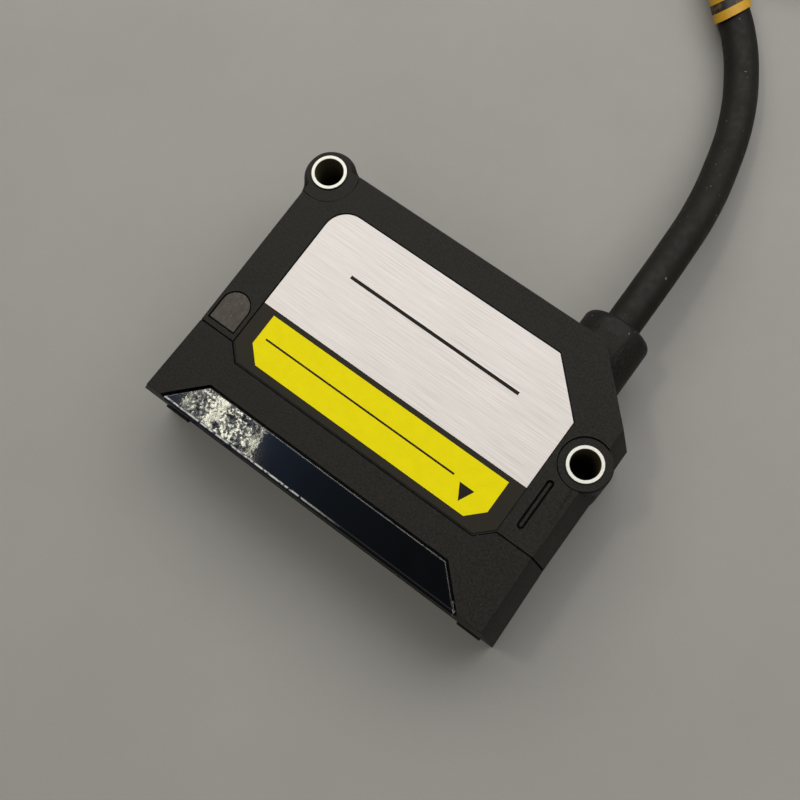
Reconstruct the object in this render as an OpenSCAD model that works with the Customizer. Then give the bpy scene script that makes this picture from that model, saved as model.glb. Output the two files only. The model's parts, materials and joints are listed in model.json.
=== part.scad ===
// Laser displacement sensor head with a short cable and a round plug, in millimetres.
// +X runs along the front edge, +Y runs back towards the cable, +Z points out of the label face.
// The origin is on the mounting face at the back, under the middle of the label face.

/* [Case] */
// Depth of the label face, front edge to back edge
face_d = 45.3; // [44.5:0.1:49]
// Thickness from the mounting face to the label face
thick = 20; // [20:0.1:23]
// How far each side wall leans out below the label face
side_lean = 2.35; // [1.6:0.05:2.6]
// How far the front and back walls lean out below the label face
end_lean = 0.65; // [0.3:0.05:1]
// Height over which the walls lean out
lean_h = 6; // [4:0.5:8]
// Size of the cut corner beside the cable
corner_cut = 9.55; // [9:0.05:10.4]
// How far the cut corner leans out below the label face
cut_lean = 0.8; // [0.4:0.05:1]
// Thickness of the side and back walls
wall = 1.7; // [1.4:0.1:2]
// Thickness of the wall under the labels
top_wall = 1.8; // [1.6:0.1:2.4]
// Small gap between parts that slide into each other
fit = 0.1; // [0.05:0.01:0.15]

/* [Mounting holes] */
// Distance between the two holes along the front edge
hole_pitch_x = 58.34; // [57:0.1:60]
// Distance between the two holes from front to back
hole_pitch_y = 15; // [13:0.1:16]
// Distance of the holes from the sides of the label face
hole_side = 1.48; // [1.3:0.01:1.7]
// Distance of the rear hole from the back edge of the label face
hole_inset = 2.05; // [1.5:0.05:3]
// Bore of the metal collars
hole_d = 4.5; // [4.2:0.1:4.8]
// Outside diameter of the metal collars
collar_d = 5.7; // [5.4:0.1:6]
// Radius of the round ears that hold the collars
ear_r = 4.2; // [4:0.1:4.4]
// Depth of the flats round the collars below the label face
ear_drop = 0.3; // [0.2:0.05:0.5]
// How far the rear ear draws in towards its top
ear_edge = 0.65; // [0.4:0.05:0.7]
// Height over which the rear ear draws in
ear_edge_h = 1.3; // [1:0.1:1.5]
// Radius of the hollow fillets beside the rear ear
ear_fillet = 4; // [2:0.1:5]
// Radius of the flat round the rear collar
rear_spot_r = 5; // [4.8:0.05:5.05]
// Radius of the flat round the front collar
front_spot_r = 4.15; // [3.8:0.05:4.2]
// Width of the fine line cut round each flat
spot_line = 0.2; // [0.15:0.05:0.25]
// Depth of that line below the flat
spot_line_t = 0.4; // [0.3:0.05:0.6]

/* [Front bezel] */
// Distance from the front edge to the joint at the sides
bezel_d = 12.95; // [12:0.1:14]
// How far the joint steps forward below the labels
joint_step = 2.45; // [2:0.05:3]
// Width of the joint line
joint_gap = 0.3; // [0.2:0.05:0.5]
// How far the sides of the bezel flare out towards the front
bezel_flare = 0.45; // [0.2:0.05:0.6]
// Wall of the bezel above and below
bezel_wall = 2; // [1.9:0.1:2.4]
// Thickness of the frame behind the window
frame_t = 1.5; // [1.2:0.1:2]
// Length of the tongues that guide the bezel into the case
tongue_l = 5.3; // [4:0.1:5.6]
// Thickness of those tongues
tongue_t = 1.1; // [0.8:0.1:1.3]
// Length of the two clips on the front
clip_l = 4.2; // [3:0.1:5]
// How far the left clip runs past the window end
clip_root = 1.6; // [1.2:0.1:2]
// Distance of the right clip from the window end
clip_off = 0.8; // [0.4:0.1:1.2]
// Height of those clips
clip_h = 1.4; // [1:0.1:2]
// How far the clips stand out in front
clip_out = 0.35; // [0.2:0.05:0.5]

/* [Window] */
// Place of the window's middle along the front edge
win_x = -0.85; // [-1:0.05:0]
// How far the window reaches past the optical opening at each side
win_land = 2.2; // [1.8:0.1:2.6]
// Depth of the window leaf on the label face
leaf_d = 5.2; // [4:0.1:6]
// Thickness of the window leaf at its back edge
leaf_t = 1.05; // [0.8:0.05:1.1]
// How far the leaf slopes down towards the front
leaf_slope = 0.3; // [0.1:0.05:0.4]
// Depth of the pocket that the leaf lies in
leaf_pocket = 1.3; // [1.2:0.05:1.4]
// Open gap around the leaf
leaf_gap = 0.4; // [0.2:0.05:0.6]
// Bevel along the window's upper front edge
win_bevel = 0.6; // [0.3:0.05:0.7]
// Thickness of the window across the front
win_t = 1.8; // [1.4:0.1:2]
// Half width of the optical opening
aperture_half = 24.95; // [24:0.05:25.4]
// Height of the optical opening
aperture_h = 12; // [10:0.1:13]
// Thickness of the rubber seals
seal_t = 0.5; // [0.4:0.05:0.6]

/* [Labels] */
// Half width of the labels
label_half = 24.3; // [23.5:0.1:24.4]
// Distance of the label's top edge from the back edge of the face
label_inset = 5.45; // [5:0.05:7]
// Length of the metal nameplate from front to back
plate_l = 19.3; // [18:0.1:20]
// Thickness of the nameplate and the lower label
label_t = 0.15; // [0.1:0.01:0.2]
// Depth of the recess that the labels lie in
recess_t = 0.3; // [0.22:0.01:0.35]
// Radius of the label's rear left corner
label_round = 3.8; // [2:0.1:5]
// Width of the plain border round the labels
label_rim = 0.2; // [0.1:0.05:0.3]
// Thickness of the yellow label
yellow_t = 0.07; // [0.05:0.01:0.09]
// Half width of the yellow label
yellow_half = 21.8; // [20:0.1:22.5]
// Distance of the yellow label from the joint
yellow_rim = 1.4; // [1:0.1:2]
// Gap between the nameplate and the yellow label
yellow_gap = 0.85; // [0.5:0.05:1]

/* [Indicator and groove] */
// Width of the indicator lens
lens_w = 4.7; // [4:0.1:4.8]
// Length of the indicator lens
lens_l = 5.75; // [5:0.05:6.5]
// Distance of the lens centre from the side of the label face
lens_inset = 3.05; // [2.95:0.05:3.4]
// Distance of the lens from the joint
lens_back = 1; // [0.8:0.1:1.5]
// Gap round the indicator lens
lens_gap = 0.2; // [0.1:0.05:0.25]
// Thickness of the lens plate
lens_t = 1; // [0.8:0.1:1.2]
// Radius of the light pipe under the lens
pipe_r = 1.2; // [1:0.1:1.3]
// Length of the slim groove at the other side
groove_l = 8.5; // [6:0.1:9.5]
// Width of that groove across both its sides
groove_w = 1.2; // [1.1:0.05:1.4]
// Width of the ring that is cut round the groove's core
groove_ring = 0.4; // [0.3:0.05:0.45]
// Depth of that groove
groove_t = 1; // [0.4:0.05:1.1]

/* [Back cover] */
// Thickness of the back cover
cover_t = 2; // [1.8:0.1:2.4]
// Width of the ledge that the cover seals against
ledge = 0.9; // [0.7:0.1:1]
// Height of the rings on the cover that clamp the optical base
ring_h = 1; // [0.8:0.1:1.4]
// Radius of the posts inside the case
post_r = 2.6; // [2.4:0.1:2.8]
// Radius of the post ends that pass through the optical base
spigot_r = 1.5; // [1.4:0.05:1.6]
// Wall of the rings on the cover
ring_wall = 0.6; // [0.4:0.05:0.7]
// Radius of the cover screws
screw_r = 0.85; // [0.7:0.05:0.95]
// Radius of the cover screw heads
screw_head_r = 1.8; // [1.6:0.1:1.9]
// Height of the cover screw heads
screw_head_h = 1.2; // [1:0.1:1.4]
// Length of the cover screws below the head
screw_l = 6.8; // [5:0.1:9]

/* [Optics] */
// Thickness of the optical base
base_t = 1.6; // [1.4:0.1:2]
// Height of the light axis above the optical base
axis_h = 5.2; // [5.1:0.05:5.4]
// Place of the laser beam along the front edge
laser_x = 17.4; // [16.8:0.1:18]
// Radius of the collimator barrel
barrel_r = 3.95; // [3.5:0.05:4.2]
// Wall of the collimator barrel
barrel_wall = 0.9; // [0.6:0.1:1.2]
// Length of the collimator barrel
barrel_l = 11; // [9:0.5:13]
// Radius of the laser diode flange
diode_r = 2.8; // [2.6:0.05:3]
// Length of the laser holder
holder_l = 10; // [9:0.1:11]
// Turn of the receiving lens towards the beam
receive_a = 18; // [15:0.5:20]
// Radius of the receiving lens
receive_r = 4.8; // [4.4:0.1:4.9]
// Distance from the receiving lens to the image sensor
focus_l = 19; // [17:0.1:20]
// Width of the image sensor
sensor_w = 16; // [12:0.1:17]
// Thickness of the circuit boards
board_t = 1.2; // [1:0.1:1.4]
// Gap between the main board and the wall under the labels
board_gap = 1.4; // [1.3:0.1:1.6]

/* [Cable] */
// Diameter of the cable
cable_d = 5.8; // [5.4:0.1:5.9]
// Distance of the cable from the side of the label face
cable_inset = 9.5; // [9.35:0.05:9.65]
// Radius of the cable gland
gland_r = 5.7; // [5.4:0.1:5.8]
// How far the gland boss stands out behind the back edge
gland_out = 2.95; // [2.5:0.05:3.2]
// Length of the rubber bush outside the boss
bush_out = 2.8; // [2.2:0.1:3.2]
// Rounding of the bush
bush_round = 1.2; // [0.6:0.1:1.6]
// Half width of the flat on top of the gland
flat_half = 1.8; // [1:0.1:2.4]
// Wall of the striped sleeve on the cable
sleeve_wall = 0.4; // [0.3:0.05:0.45]
// Length of the striped sleeve
sleeve_l = 26; // [15:0.5:30]
// Radius of the plug
plug_r = 7; // [7:0.1:8]
// Length of the plug's grip
plug_l = 20; // [16:0.5:24]
// Length of the plug's tapered boot
boot_l = 12; // [10:0.5:16]
// Length of the plug's metal nose
nose_l = 9; // [7:0.5:11]
// Radius of the plug's metal nose
nose_r = 5.6; // [5:0.1:6]

/* [Hidden] */
$fn = 64;
far = 70;
over = 1;
bond = 0.5;

// Half sizes of the label face and the level of each layer
half_w = hole_pitch_x / 2 + hole_side;
half_d = face_d / 2;
ceiling = thick - top_wall;
floor_z = cover_t + seal_t;
base_z = cover_t + ring_h;
deck = base_z + base_t;
axis_z = deck + axis_h;
board_top = ceiling - board_gap;
board_z = board_top - board_t;
mid_z = thick / 2;

// Case outline values
cut_sum = half_w + half_d - corner_cut;
cav_half = half_w - wall;
cav_back = half_d - wall;
joint_y = -half_d + bezel_d;
joint_mid = joint_y - joint_step;
recess_half = label_half + label_rim;
cover_back_off = 2.7;
cover_front = joint_y + cover_back_off;
front_y = -half_d - end_lean;

// Guide tongues of the bezel
tongue_root = 3;
tongue_y = joint_y - joint_gap - tongue_root;
tongue_z = 6;
tongue_h = 9.5;

// Mounting holes, rear left and front right
rear_y = half_d - hole_inset;
HOLES = [[-hole_pitch_x / 2, rear_y], [hole_pitch_x / 2, rear_y - hole_pitch_y]];
boss_r = ear_r + ledge;
spot_z = thick - ear_drop;

// Posts that carry the board, the optical base and the cover screws
post_sink = 0.2;
post_x = cav_half - post_r + post_sink;
post_y = cav_back - post_r + post_sink;
POSTS = [[-post_x, 6], [post_x, -4.5], [11, post_y], [-19, post_y]];
shoulder_w = 0.6;
shoulder_r = post_r + shoulder_w;
tip_gap = 0.3;
slot_w = 0.4;

// Board screws and their stubs
STUBS = [[0, 1.5], [-9.5, 15.5]];
stub_r = 1.9;
small_r = 0.75;
small_head_r = 1.5;
small_head_h = 0.9;
small_l = 3.3;

// Window and its seat
win_half = aperture_half + win_land;
win_inset = 0.2;
win_front = front_y + win_inset;
win_edge = win_front + win_bevel;
win_back = -half_d + leaf_d;
leaf_half = win_half - leaf_d;
leaf_z = thick - leaf_pocket;
win_z = 1.8;
frame_front = win_front + win_t + seal_t;
frame_back = frame_front + frame_t;
aperture_z = mid_z - aperture_h / 2;
clip_raise = 0.4;
clip_z = mid_z + clip_raise;

// Labels
label_top = half_d - label_inset;
plate_front = label_top - plate_l;
label_corner = 9.75;
label_cut = cut_sum - label_corner;
yellow_back = plate_front - yellow_gap;
yellow_front = joint_mid + yellow_rim;
yellow_cut = 2.5;
label_z = thick - recess_t;

// Indicator and groove
lens_x = -half_w + lens_inset;
lens_y = joint_y + lens_back;
pipe_shift = 0.2;
pipe_x = lens_x + pipe_shift;
pipe_y = lens_y + lens_l / 2;
led_h = 0.8;
led_w = 1.3;
led_l = 2;
groove_inset = 3.95;
groove_x = half_w - groove_inset;
groove_back = 2.1;
groove_y = joint_y + groove_back;

// Laser unit
holder_w = 12;
holder_back = 2;
holder_front = holder_back - holder_l;
holder_roof = 0.7;
seat_l = 2.5;
seat_wall = 1.5;
diode_seat = holder_back - seat_l;
can_r = diode_r * 0.8;
flange_t = 1.2;
can_l = 2.4;
pin_r = 0.23;
pin_l = 3;
pin_tail = 0.2;
pin_ring_r = 1.1;
PINS = [for (a = [90, 210, 330]) pin_ring_r * [cos(a), sin(a)]];
laser_board_w = 10;
barrel_gap = 4.5;
barrel_back = diode_seat - barrel_gap;
barrel_front = barrel_back - barrel_l;
collimator_r = barrel_r - barrel_wall - fit / 2;
collimator_in = 1;
collimator_edge = 1;
collimator_dome = 0.9;
shield_x = 5;
shield_t = 1;
shield_back = 6;
board_clear = 0.3;

// Receiving unit
RECEIVER = [-7, -12.5];
mount_half = 7;
mount_l = 8;
receive_t = 3.6;
receive_lip = 0.6;
sensor_t = 1.4;
sensor_raise = 0.4;
sensor_over = 4;
sensor_rim = 1.5;
sensor_slot_h = 2;
sensor_slot_t = 0.4;

// Main board, optical base and the parts on them
board_front = 2.5;
board_edge = 0.6;
CHIP = [-3, 7];
chip_w = 10;
chip_l = 9;
chip_t = 1.2;
base_gap = 0.4;
base_clear = 1.2;
base_corner = 5;

// Cable gland
cable_x = half_w - cable_inset;
flange_step = 0.4;
flange_r = gland_r - flange_step;
flange_gap = 0.25;
gland_in = cut_sum - wall * sqrt(2) - cable_x - flange_r - flange_gap;
gland_y = half_d + gland_out;
bush_y = gland_y + bush_out;
cable_r = cable_d / 2;
boss_wall = 1.35;
bush_r = gland_r - boss_wall;
flange_l = 1.4;
bush_in = gland_in - flange_l;
mouth_l = 0.8;
mouth_w = 0.6;
ferrule_l = 2.2;
ferrule_t = 1.1;
cable_stub = 0.6;
cable_in = bush_in - ferrule_l - cable_stub;
wire_l = 3.5;
wire_r = 0.55;
wire_pitch = 1.7;
socket_back = cable_in - wire_l;
socket_w = 5.6;
socket_l = 3.2;
socket_drop = 2.4;

// Free cable: straight out, down to the surface, one loop and on to the plug
cable_sides = 12;
ROUTE = [[21.15, 36, 9.9], [21, 44, 9], [20.5, 53, 7.3], [19, 62, 5.4], [16, 72.5, 3.9],
         [12, 80.5, 3.4], [8, 86, 3.4], [3, 91, 3.4], [-9.5, 103.5, 3.4]];
LOOP = [-1.5, 136.5];
loop_r = 29;
loop_start = 225;
loop_turn = 350;
loop_step = 25;
loop_fall = 50;
loop_rise_from = 180;
loop_rise = 155;
loop_low = 2.9;
loop_in = 3.4;
loop_high = 9.4;
TAIL = [[10, 8.4], [20, 7]];
tail_a = loop_start - loop_turn;
TAIL_DIR = [sin(tail_a), -cos(tail_a)];
tail_heading = atan2(TAIL_DIR.y, TAIL_DIR.x);
SLEEVE = [6.35, 87.65];
sleeve_heading = 135;
sleeve_slant = 20;
sleeve_tilt = 26;
sleeve_cut = 1.95;
TIE = [-19.5, 113.6];
tie_w = 3;
tie_t = 0.4;
tie_slack = 0.7;
tie_heading = 140;

// Plug
neck_wall = 0.8;
waist_step = 1.5;
grip_edge = 1;
rib_w = 1.2;
rib_t = 0.5;
rib_from = 4;
rib_n = 5;
nose_in = 4;
nose_wall = 0.7;
nose_floor = 1;
insert_r = nose_r - nose_wall - fit / 2;
insert_back = 0.6;
contact_r = 0.55;
contact_wall = 0.2;
contact_ring_r = 2.7;
contact_back = 1.2;
contact_seat = 1;
contact_hole = 3;
key_w = 1;
key_t = 0.6;
CONTACTS = [for (a = [45 : 90 : 315]) contact_ring_r * [cos(a), sin(a)]];

charcoal = "#2f2e2c";
black_rubber = "#1b1b1b";
steel = "#c9c9c6";
alloy = "#8f9498";
board_green = "#1f5a38";
glass = "#a9c4cf";

// A rod along +Y from y0 to y1
module rod_y(x, z, y0, y1, r) {
    translate([x, y0, z]) rotate([-90, 0, 0]) cylinder(r = r, h = y1 - y0);
}

// A block between two corners
module block(low, high) {
    translate(low) cube(high - low);
}

// Section of the body across the front, grown sideways by g
module side_section(g) {
    polygon([[-half_w - side_lean - g, 0], [half_w + side_lean + g, 0],
             [half_w + side_lean + g, thick - lean_h], [half_w + g, thick],
             [-half_w - g, thick], [-half_w - side_lean - g, thick - lean_h]]);
}

// Section of the body from front to back
module end_section() {
    polygon([[front_y, 0], [-front_y, 0], [-front_y, thick - lean_h], [half_d, thick],
             [-half_d, thick], [front_y, thick - lean_h]]);
}

// Side section drawn out along Y
module side_prism(g) {
    translate([0, far, 0]) rotate([90, 0, 0]) linear_extrude(2 * far) side_section(g);
}

// Side section drawn out from the joint to the front, where it is wider
module flared_prism() {
    hull() for (e = [[joint_y, 0], [front_y - over, bezel_flare]])
        translate([0, e[0], 0]) rotate([90, 0, 0]) linear_extrude(fit) side_section(e[1]);
}

// Section from front to back drawn out along X
module end_prism() {
    translate([-far, 0, 0]) rotate([90, 0, 90]) linear_extrude(2 * far) end_section();
}

// All room inside the cut corner, which leans out below the label face
module corner_prism() {
    u = cut_sum / sqrt(2);
    rotate(45) translate([0, far, 0]) rotate([90, 0, 0]) linear_extrude(2 * far)
        polygon([[-far, 0], [u + cut_lean, 0], [u + cut_lean, thick - lean_h], [u, thick], [-far, thick]]);
}

// The joint line from left to right, moved forward by g
function joint_line(g) = [[-far, joint_y - g], [-recess_half, joint_y - g],
    [-recess_half + joint_step, joint_mid - g], [recess_half - joint_step, joint_mid - g],
    [recess_half, joint_y - g], [far, joint_y - g]];

function reversed(v) = [for (i = [len(v) - 1 : -1 : 0]) v[i]];

// Hollow of the case in plan, grown by g, from y0 to the back wall
module hollow_plan(y0, g) {
    half = cav_half + g;
    back = cav_back + g;
    cut = cut_sum - (wall - g) * sqrt(2);
    polygon([[-half, y0], [half, y0], [half, cut - half], [cut - back, back], [-half, back]]);
}

// Outline of the back cover, grown by g, kept clear of the ears
module cover_plan(g) {
    difference() {
        hollow_plan(cover_front - g, g);
        for (h = HOLES) translate(h) circle(r = boss_r - g);
    }
}

// Fillet between the rear ear and a straight edge that runs along Y at distance e from the ear's centre
module ear_web(e) {
    fx = -e - ear_fillet;
    fy = -sqrt((ear_r + ear_fillet) * (ear_r + ear_fillet) - fx * fx);
    difference() {
        polygon([[0, 0], [fx, fy], [0, fy]]);
        translate([fx, fy]) circle(r = ear_fillet);
    }
}

// Rear ear, drawn in towards its top, with fillets beside it
module rear_ear() {
    low = spot_z - ear_edge_h;
    lean = (thick - low) / lean_h;
    translate(HOLES[0]) {
        cylinder(r = ear_r, h = low);
        translate([0, 0, low]) cylinder(r1 = ear_r, r2 = ear_r - ear_edge, h = ear_edge_h);
        linear_extrude(low) {
            ear_web(half_w + side_lean * lean + HOLES[0].x);
            rotate(90) mirror([1, 0]) ear_web(half_d + end_lean * lean - HOLES[0].y);
        }
    }
}

// Front ear with a slimmer disc on top
module front_ear() {
    translate(HOLES[1]) {
        cylinder(r = ear_r, h = spot_z - spot_line_t);
        cylinder(r = front_spot_r - spot_line, h = spot_z);
    }
}

// Outline of the labels from y0 to the rear edge, grown by g
module label_plan(y0, g) {
    half = label_half + g;
    top = label_top + g;
    cut = label_cut + g * sqrt(2);
    r = label_round + g;
    polygon([[-half, y0], [half, y0], [half, cut - half],
             [cut - top, top], [-half + r, top], [-half, top - r]]);
    translate([-half + r, top - r]) circle(r = r);
}

// Outline of a label from back to front with both front corners cut off
module front_cut_plan(half, back, front, cut) {
    polygon([[-half, back], [-half, front + cut], [-half + cut, front],
             [half - cut, front], [half, front + cut], [half, back]]);
}

// Outline of the indicator lens, grown by g
module lens_plan(g) {
    r = lens_w / 2;
    translate([lens_x - r - g, lens_y - g]) square([lens_w + 2 * g, lens_l - r + g]);
    translate([lens_x, lens_y + lens_l - r]) circle(r = r + g);
}

// Outline of the slim groove with round ends, drawn in by g
module groove_plan(g) {
    r = groove_w / 2;
    length = groove_l - groove_w;
    translate([groove_x, groove_y + r]) {
        translate([g - r, 0]) square([groove_w - 2 * g, length]);
        for (y = [0, length]) translate([0, y]) circle(r = r - g);
    }
}

// Flat on top of the gland, as a block to cut away
module gland_flat_cut() {
    z = mid_z + sqrt(gland_r * gland_r - flat_half * flat_half);
    block([cable_x - gland_r - over, half_d - end_lean, z],
          [cable_x + gland_r + over, bush_y + over, thick]);
}

// Round flat of radius r in the label face, with a fine line round it
module flat_cut(p, r) {
    translate([p.x, p.y, spot_z]) cylinder(r = r, h = ear_drop + over);
    translate([p.x, p.y, spot_z - spot_line_t]) difference() {
        cylinder(r = r, h = spot_line_t + over);
        translate([0, 0, -over]) cylinder(r = r - spot_line, h = spot_line_t + 3 * over);
    }
}

// Moulded case: label face, walls, ears, posts and gland boss in one piece
module main_case() {
    color(charcoal)
    difference() {
        union() {
            difference() {
                intersection() {
                    union() {
                        intersection() {
                            side_prism(0);
                            end_prism();
                            corner_prism();
                        }
                        rear_ear();
                        front_ear();
                    }
                    linear_extrude(thick) polygon(concat(joint_line(0), [[far, far], [-far, far]]));
                }
                translate([0, 0, floor_z]) linear_extrude(ceiling - floor_z) difference() {
                    hollow_plan(-far, 0);
                    for (h = HOLES) translate(h) circle(r = boss_r);
                }
                translate([0, 0, -over]) linear_extrude(floor_z + 2 * over) cover_plan(0);
                translate([0, 0, -over]) linear_extrude(floor_z + over) cover_plan(ledge);
            }
            for (p = POSTS) translate(p) {
                translate([0, 0, board_top]) cylinder(r = shoulder_r, h = ceiling - board_top + bond);
                translate([0, 0, deck]) cylinder(r = post_r, h = board_top - deck);
                translate([0, 0, floor_z + fit]) cylinder(r = spigot_r, h = deck - floor_z - fit);
            }
            translate([0, 0, board_top]) for (p = STUBS)
                translate(p) cylinder(r = stub_r, h = ceiling - board_top + bond);
            difference() {
                rod_y(cable_x, mid_z, gland_in, gland_y, gland_r);
                gland_flat_cut();
            }
        }
        flat_cut(HOLES[0], rear_spot_r);
        flat_cut(HOLES[1], front_spot_r);
        for (h = HOLES) translate(h)
            translate([0, 0, -over]) cylinder(r = collar_d / 2 + fit / 2, h = thick + 2 * over);
        translate([0, 0, label_z]) linear_extrude(recess_t + over) label_plan(joint_mid - over, label_rim);
        translate([0, 0, thick - lens_t]) linear_extrude(lens_t + over) lens_plan(lens_gap);
        translate([pipe_x, pipe_y, board_top]) cylinder(r = pipe_r + fit, h = thick - board_top);
        translate([0, 0, thick - groove_t]) linear_extrude(groove_t + over) difference() {
            groove_plan(0);
            groove_plan(groove_ring);
        }
        rod_y(cable_x, mid_z, gland_in - over, gland_y + over, bush_r + fit / 2);
        for (p = POSTS) translate(p) cylinder(r = screw_r + fit / 2, h = screw_head_h + screw_l + tip_gap);
        translate([0, 0, board_z]) for (p = STUBS)
            translate(p) cylinder(r = small_r + fit / 2, h = small_l + tip_gap);
    }
}

// Metal collar in an ear, from face to face
module collar(p) {
    color(steel) translate(p) difference() {
        cylinder(d = collar_d, h = thick);
        translate([0, 0, -over]) cylinder(d = hole_d, h = thick + 2 * over);
    }
}

module collar_left() {
    collar(HOLES[0]);
}

module collar_right() {
    collar(HOLES[1]);
}

// Outline of the window leaf on the label face, grown by g
module leaf_plan(g) {
    back = win_back + g;
    half = leaf_half + g * (sqrt(2) - 1);
    front_half = win_half + g;
    polygon([[-half, back], [half, back], [front_half, back - (front_half - half)], [front_half, -far],
             [-front_half, -far], [-front_half, back - (front_half - half)]]);
}

// Front bezel: a hollow frame that carries the window
module front_bezel() {
    color(charcoal) union() {
        difference() {
            intersection() {
                flared_prism();
                end_prism();
                linear_extrude(thick) polygon(concat(joint_line(joint_gap), [[far, -far], [-far, -far]]));
            }
            block([-cav_half, frame_back, bezel_wall], [cav_half, far, thick - bezel_wall]);
            translate([win_x, 0, 0]) {
                block([-win_half - fit, -far, win_z], [win_half + fit, frame_front, leaf_z]);
                block([-aperture_half, -far, aperture_z],
                      [aperture_half, frame_back + over, aperture_z + aperture_h]);
                translate([0, 0, leaf_z]) linear_extrude(leaf_pocket + over) leaf_plan(leaf_gap);
            }
        }
        for (s = [0, 1]) mirror([s, 0, 0]) {
            block([cav_half - fit - tongue_t, tongue_y, tongue_z],
                  [cav_half - fit, tongue_y + tongue_l, tongue_z + tongue_h]);
            block([cav_half - fit - tongue_t, tongue_y, tongue_z],
                  [cav_half + bond, joint_y - joint_gap, tongue_z + tongue_h]);
        }
        for (x = [win_x - win_half - clip_root, win_x + win_half + clip_off])
            block([x, front_y - clip_out, clip_z], [x + clip_l, win_front - fit / 2, clip_z + clip_h]);
    }
}

// Rubber ring in the joint between case and bezel
module bezel_seal() {
    inset = 0.6;
    color(black_rubber) difference() {
        intersection() {
            side_prism(-inset);
            translate([0, 0, inset]) linear_extrude(thick - 2 * inset)
                polygon(concat(joint_line(0), reversed(joint_line(joint_gap))));
        }
        block([-cav_half, -far, floor_z], [cav_half, far, ceiling]);
    }
}

// Dark window: a plate across the front and a leaf that turns on to the label face
module front_window() {
    top_back = leaf_z + leaf_t;
    top_front = top_back - leaf_slope;
    color("#14181f") translate([win_x, 0, 0]) intersection() {
        translate([-far, 0, 0]) rotate([90, 0, 90]) linear_extrude(2 * far)
            polygon([[win_back, leaf_z], [win_back, top_back], [win_edge, top_front],
                     [win_front, top_front - win_bevel], [win_front, win_z], [win_front + win_t, win_z],
                     [win_front + win_t, leaf_z]]);
        union() {
            translate([0, 0, leaf_z]) linear_extrude(leaf_pocket) leaf_plan(0);
            block([-win_half, win_front, win_z], [win_half, win_front + win_t, leaf_z]);
        }
    }
}

// Rubber frame between the window and the bezel
module window_seal() {
    inset = 0.4;
    color(black_rubber) translate([win_x, 0, 0]) difference() {
        block([-win_half + inset, win_front + win_t, win_z + inset],
              [win_half - inset, frame_front, leaf_z - inset]);
        block([-aperture_half - inset, -far, aperture_z - inset],
              [aperture_half + inset, far, aperture_z + aperture_h + inset]);
    }
}

// Smoky indicator lens with its light pipe
module indicator_lens() {
    led_top = board_top + led_h;
    color("#4b443e") union() {
        translate([0, 0, thick - lens_t]) linear_extrude(lens_t) lens_plan(0);
        translate([pipe_x, pipe_y, led_top + fit]) cylinder(r = pipe_r, h = thick - lens_t - led_top);
    }
}

// Light source on the main board under the indicator lens
module indicator_led() {
    color("ivory") translate([pipe_x - led_w / 2, pipe_y - led_l / 2, board_top])
        cube([led_w, led_l, led_h]);
}

// Brushed metal nameplate
module nameplate() {
    color("#e4deda") translate([0, 0, label_z]) linear_extrude(label_t) label_plan(plate_front, 0);
}

// Dark label in front of the nameplate
module lower_label() {
    front = joint_mid + label_rim;
    color("#3a322e") translate([0, 0, label_z]) linear_extrude(label_t)
        front_cut_plan(label_half, plate_front - fit / 2, front, joint_step);
}

// Yellow label on the dark one
module yellow_label() {
    color("#e4d50f") translate([0, 0, label_z + label_t]) linear_extrude(yellow_t)
        front_cut_plan(yellow_half, yellow_back, yellow_front, yellow_cut);
}

// Back cover with the rings that clamp the optical base
module back_cover() {
    color(charcoal) difference() {
        union() {
            linear_extrude(cover_t) cover_plan(ledge - fit);
            for (p = POSTS) translate(p) cylinder(r = spigot_r + fit + ring_wall, h = base_z);
        }
        for (p = POSTS) translate(p) {
            translate([0, 0, -over]) cylinder(r = screw_r + fit, h = base_z + 2 * over);
            translate([0, 0, -over]) cylinder(r = screw_head_r + fit, h = screw_head_h + over);
            translate([0, 0, cover_t]) cylinder(r = spigot_r + fit, h = ring_h + over);
        }
    }
}

// Rubber ring on the ledge of the back cover
module cover_seal() {
    color(black_rubber) translate([0, 0, cover_t]) linear_extrude(seal_t) difference() {
        cover_plan(ledge - fit);
        cover_plan(fit);
    }
}

// A round-headed screw that points up from its head's lower face at z
module screw(p, z, head_r, head_h, r, l) {
    translate([p.x, p.y, z]) {
        cylinder(r = head_r, h = head_h);
        translate([0, 0, head_h]) cylinder(r = r, h = l);
    }
}

// Screws that hold the back cover
module cover_screws() {
    reach = screw_head_r * 0.6;
    color(steel) for (p = POSTS) difference() {
        screw(p, 0, screw_head_r, screw_head_h, screw_r, screw_l);
        translate(p) for (a = [0, 90]) rotate(a)
            block([-reach, -slot_w / 2, -over], [reach, slot_w / 2, screw_head_h / 2]);
    }
}

// Alloy base plate that holds the optics in line
module optical_base() {
    side = cav_half - tongue_t - fit - base_gap;
    front = frame_back + base_gap;
    back = cav_back - base_gap;
    step_x = cable_x - gland_r - base_clear;
    step_y = bush_in - base_clear;
    color(alloy) translate([0, 0, base_z]) linear_extrude(base_t) difference() {
        polygon([[-side, front], [side, front], [side, step_y - base_corner], [side - base_corner, step_y],
                 [step_x, step_y], [step_x, back], [-side, back]]);
        for (h = HOLES) translate(h) circle(r = boss_r + base_gap);
        for (p = POSTS) translate(p) circle(r = spigot_r + fit);
    }
}

// Block that holds the laser diode and the collimator
module laser_holder() {
    half = holder_w / 2;
    color(alloy) difference() {
        block([laser_x - half, holder_front, deck],
              [laser_x + half, holder_back, axis_z + barrel_r + holder_roof]);
        rod_y(laser_x, axis_z, holder_front - over, diode_seat - seat_wall, barrel_r + fit / 2);
        rod_y(laser_x, axis_z, holder_front, holder_back, can_r + fit);
        rod_y(laser_x, axis_z, diode_seat, holder_back + over, diode_r + fit);
    }
}

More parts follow.
